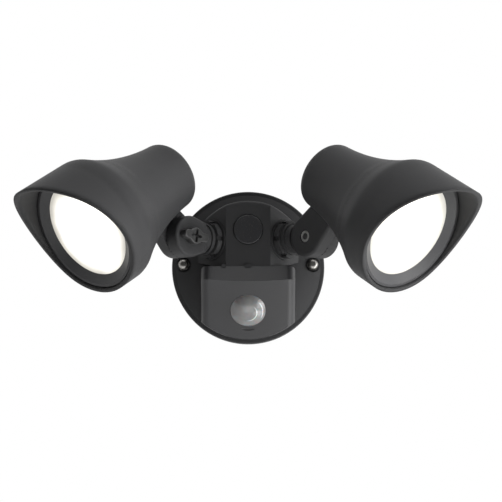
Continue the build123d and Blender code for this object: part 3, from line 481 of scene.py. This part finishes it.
for name, finish in finishes.items():
    nodes[name].data.materials.clear()
    nodes[name].data.materials.append(finish)
print("finishes on", len(finishes), "solids, missing", sorted(set(nodes) - set(finishes)))

creaseAngle = 40.0  # degrees from which an edge is drawn sharp


# quads between rings of points, closed by a cap at each end or by joining the last ring to the first
def skin(rings, loop=False):
    count = len(rings[0])
    pairs = [(k, k + 1) for k in range(len(rings) - 1)] + ([(len(rings) - 1, 0)] if loop else [])
    faces = [
        (a * count + i, a * count + (i + 1) % count, b * count + (i + 1) % count, b * count + i)
        for a, b in pairs for i in range(count)
    ]
    if not loop:
        faces += [tuple(range(count)), tuple(range((len(rings) - 1) * count, len(rings) * count))]
    return [point for ring in rings for point in ring], faces


def addPiece(name, form, finish, body, slot, *stoodFor):
    mesh = bpy.data.meshes.new(name)
    mesh.from_pydata(form[0], [], form[1])
    shell = bmesh.new()
    shell.from_mesh(mesh)
    bmesh.ops.recalc_face_normals(shell, faces=shell.faces)
    shell.to_mesh(mesh)
    shell.free()
    mesh.shade_smooth()
    mesh.set_sharp_from_angle(angle=math.radians(creaseAngle))
    mesh.materials.append(finish)
    made = bpy.data.objects.new(name, mesh)
    scene.collection.objects.link(made)
    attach(made, body)
    if stoodFor:
        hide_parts(*stoodFor)


# cast cup behind each cap nut's seat: it closes the seat on the block's side, where the dome's wall lies
# further out than the seat
capNutCup = {
    "bore": 0.0024,
    "inner": 0.00583,
    "outer": 0.0072,
    "thickness": 0.0014,
    "sunk": 0.00003,  # below the seat, so that the two faces don't coincide
    "domeSlope": 0.3,  # the dome's underside rises this much for each metre towards the middle
    "domeFrom": 0.0468,  # distance from the middle where the underside is level with the seat
    "into": 0.00025,  # how far the cup's wall goes into the dome's
    "steps": 64,
}


def addCapNutCup(side, sign):
    low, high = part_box("mounting_studs")
    x, z = sign * (high.x - (high.z - low.z) / 2), (high.z + low.z) / 2
    seat = -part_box("cap_nuts")[1].y

    def ring(radius, depth):  # with no depth it follows the dome's underside
        points = []
        for step in range(capNutCup["steps"]):
            turn = 2 * math.pi * step / capNutCup["steps"]
            px, pz = x + radius * math.cos(turn), z + radius * math.sin(turn)
            rise = capNutCup["domeSlope"] * (capNutCup["domeFrom"] - math.hypot(px, pz)) + capNutCup["into"]
            dome = seat - capNutCup["sunk"] / 2 + max(0.0, rise)
            points.append((px, -depth if depth else -dome, pz))
        return points

    front, back = seat - capNutCup["sunk"], seat - capNutCup["thickness"]
    outline = [("bore", front), ("inner", front), ("inner", None)]
    outline += [("outer", None), ("outer", back), ("bore", back)]
    rings = [ring(capNutCup[radius], depth) for radius, depth in outline]
    addPiece(f"{side}CapNutCup", skin(rings, loop=True), coat, "base", "dark_cast")


# winged clamp screw, forged: a round hub that runs into two flat wings, with a deep cross recess
clampScrew = {
    "wingTurn": 8.0,  # degrees that the wings stand off the level
    "hub": 0.0062,
    "wingHalf": 0.0033,
    "wingReach": 0.01225,
    "fillet": 0.0034,  # where a wing runs into the hub
    "rimRound": 0.0009,
    "rimSteps": 4,
    "dish": 0.0005,  # how far the hub lies below the wings
    "dishFrom": 0.6,  # share of the hub where the dish starts to rise, over the width of one hub
    "crossReach": 0.005,
    "crossHalf": 0.0009,
    "crossDepth": 0.0026,
    "crossDraft": 0.0003,
    "endDrafts": 3,  # the recess runs out at its ends over this many drafts
    "wallMiddle": 0.5,  # its walls are halfway down where crossHalf is measured
    "shank": 0.00245,
    "seatGap": 0.0001,  # above its washer, as in the solids
    "steps": 128,
    "ringStep": 0.0003,
    "leastSine": 1e-6,  # keeps the outline finite along the wings
}


def unit(value):  # kept between 0 and 1
    return min(max(value, 0.0), 1.0)


def screwRadius(turn):  # from the screw's axis to its outline
    along, across = abs(math.cos(turn)), max(abs(math.sin(turn)), clampScrew["leastSine"])
    half, stop = clampScrew["wingHalf"], clampScrew["wingReach"] - clampScrew["wingHalf"]
    wing = half / across
    if wing * along > stop:
        wing = stop * along + math.sqrt(max(half**2 - (stop * across) ** 2, 0.0))
    near = max(clampScrew["fillet"] - abs(wing - clampScrew["hub"]), 0.0)
    return max(wing, clampScrew["hub"]) + near**2 / (4 * clampScrew["fillet"])


def screwDip(u, v):  # how far the hub's dish and the cross recess lie below the wings
    ramp = unit((abs(u) - clampScrew["dishFrom"] * clampScrew["hub"]) / clampScrew["hub"])
    cut = 0.0
    for along, across in ((abs(u), abs(v)), (abs(v), abs(u))):
        ends = unit((clampScrew["crossReach"] - along) / clampScrew["crossDraft"] / clampScrew["endDrafts"])
        walls = unit((clampScrew["crossHalf"] - across) / clampScrew["crossDraft"] + clampScrew["wallMiddle"])
        cut = max(cut, ends * walls)
    return clampScrew["dish"] * (1 - ramp * ramp * (3 - 2 * ramp)) + clampScrew["crossDepth"] * cut


def addClampScrew(side, sign):
    joint = jointsByName[f"{side}_screw_turn"]
    hinge, axis = Vector(joint["pos_m"]), Vector(joint["axis"]).normalized()
    outward = Vector((sign, -1, 0)).normalized()
    turn = math.radians(clampScrew["wingTurn"])
    wing = outward * math.cos(turn) + Vector((0, 0, math.sin(turn)))
    other = axis.cross(wing)

    def span(name):  # a solid's reach along the axis
        reaches = [(nodes[name].matrix_world @ v.co - hinge).dot(axis) for v in nodes[name].data.vertices]
        return min(reaches), max(reaches)

    end, top = span(f"{side}_wing_screw")
    base = span(f"{side}_screw_washer")[1] + clampScrew["seatGap"]
    turns = [2 * math.pi * step / clampScrew["steps"] for step in range(clampScrew["steps"])]

    def ring(radii, height, dips=True):
        points = []
        for angle, radius in zip(turns, radii):
            u, v = radius * math.cos(angle), radius * math.sin(angle)
            points.append(hinge + wing * u + other * v + axis * (height - (screwDip(u, v) if dips else 0.0)))
        return points

    outline = [screwRadius(angle) for angle in turns]
    shank = [clampScrew["shank"]] * len(turns)
    edge = clampScrew["rimRound"]
    parts = [(step + 1) / clampScrew["rimSteps"] for step in range(clampScrew["rimSteps"])]
    count = int(clampScrew["crossReach"] / clampScrew["ringStep"]) + 1
    inner = [clampScrew["ringStep"] * (step + 1) for step in range(count)]
    rings = [ring([radius] * len(turns), top) for radius in inner]
    for part in parts:
        rings.append(ring([inner[-1] + (radius - edge - inner[-1]) * part for radius in outline], top))
    for part in parts:
        lean = part * math.pi / 2
        radii = [radius - edge + edge * math.sin(lean) for radius in outline]
        rings.append(ring(radii, top - edge + edge * math.cos(lean)))
    rings += [ring(outline, base, False), ring(shank, base, False), ring(shank, end, False)]
    body, stoodFor = f"{side}_clamp_screw", f"{side}_wing_screw"
    addPiece(f"{side}ClampScrew", skin(rings), darkZinc, body, "black_steel", stoodFor)


for side, sign in sides.items():
    addCapNutCup(side, sign)
    addClampScrew(side, sign)
print("cups and clamp screws made")

# a white room lit from the right, with less light from above, from the left and from the floor
lampAim = (0, -0.08, 0.02)
lamps = {
    "right": {"place": (1.6, -0.9, 0.1), "size": 1.2, "power": 23},
    "rightLow": {"place": (1.2, -0.9, -0.6), "size": 0.8, "power": 6},
    "rightTop": {"place": (1.3, -0.9, 1.4), "size": 1.0, "power": 13},
    "rightBack": {"place": (1.5, 0.5, 0.2), "size": 1.2, "power": 6},
    "top": {"place": (0.1, -0.6, 1.8), "size": 1.4, "power": 6},
    "leftTop": {"place": (-1.3, -0.9, 1.4), "size": 1.0, "power": 4.5},
    "rightSide": {"place": (1.8, -0.3, -0.3), "size": 0.8, "power": 6},
    "low": {"place": (0.0, -0.7, -0.68), "size": 0.8, "power": 3.2},
    "lowBack": {"place": (0.5, -0.25, -0.7), "size": 0.5, "power": 4},
}


def addLamps():
    for name, values in lamps.items():
        data = bpy.data.lights.new(name, "AREA")
        data.shape = "SQUARE"
        data.size = values["size"]
        data.energy = values["power"]
        made = bpy.data.objects.new(name, data)
        scene.collection.objects.link(made)
        made.location = values["place"]
        made.rotation_mode = "QUATERNION"
        made.rotation_quaternion = (Vector(lampAim) - made.location).to_track_quat("-Z", "Y")


surroundings = {
    "floorHeight": -0.75,
    "floorHalf": 6.0,
    "floor": "#e8e8e6",
    "sky": "#ffffff",
    "ambient": 0.15,
    "shown": 1.0,  # brightness of the background where it is seen
}


def seenRay(tree):  # 1 for rays that show the background: to the camera, by reflection or through glass
    path = addNode(tree, "ShaderNodeLightPath")
    straight = calc(tree, "MAXIMUM", path.outputs["Is Camera Ray"], path.outputs["Is Glossy Ray"])
    return calc(tree, "MAXIMUM", straight, path.outputs["Is Transmission Ray"])


def mixShaders(tree, factor, first, second):
    return addNode(tree, "ShaderNodeMixShader", links={0: factor, 1: first, 2: second})


def addSheet(name, corners, finish):
    mesh = bpy.data.meshes.new(name)
    mesh.from_pydata(corners, [], [(0, 1, 2, 3)])
    mesh.materials.append(finish)
    made = bpy.data.objects.new(name, mesh)
    scene.collection.objects.link(made)
    return made


def addSurroundings():
    world = bpy.data.worlds.new("whiteStudio")
    scene.world = world
    world.use_nodes = True
    tree = world.node_tree
    tree.nodes.clear()
    sky = linear(surroundings["sky"])
    ambient, white = [
        addNode(tree, "ShaderNodeBackground", {"Color": sky, "Strength": surroundings[name]})
        for name in ("ambient", "shown")
    ]
    mix = mixShaders(tree, seenRay(tree), ambient.outputs[0], white.outputs[0])
    addNode(tree, "ShaderNodeOutputWorld", links={"Surface": mix.outputs[0]})

    made, tree = newMaterial("paintedFloor")
    paint = addNode(tree, "ShaderNodeBsdfDiffuse", {"Color": linear(surroundings["floor"])})
    glow = addNode(tree, "ShaderNodeEmission", {"Strength": surroundings["shown"]})
    clear = addNode(tree, "ShaderNodeBsdfTransparent")
    lit = mixShaders(tree, seenRay(tree), paint.outputs[0], glow.outputs[0])
    back = addNode(tree, "ShaderNodeNewGeometry").outputs["Backfacing"]
    showShader(tree, mixShaders(tree, back, lit.outputs[0], clear.outputs[0]))
    half, height = surroundings["floorHalf"], surroundings["floorHeight"]
    corners = [(-half, -half, height), (half, -half, height), (half, half, height), (-half, half, height)]
    floor = addSheet("studioFloor", corners, made)


# a black cloth behind the camera: what faces the camera stays dark, and only edges catch the white room
flag = {"away": 1.9, "half": 2.4, "bottom": -0.7, "top": 2.3, "cloth": "#0c0c0c"}


def addFlag():
    cloth, tree = newMaterial("blackCloth")
    showShader(tree, addNode(tree, "ShaderNodeBsdfDiffuse", {"Color": linear(flag["cloth"])}))
    wide, away, bottom, top = flag["half"], -flag["away"], flag["bottom"], flag["top"]
    corners = [(-wide, away, bottom), (wide, away, bottom), (wide, away, top), (-wide, away, top)]
    made = addSheet("studioFlag", corners, cloth)
    made.visible_camera = False


addLamps()
addSurroundings()
addFlag()
print("studio lit")
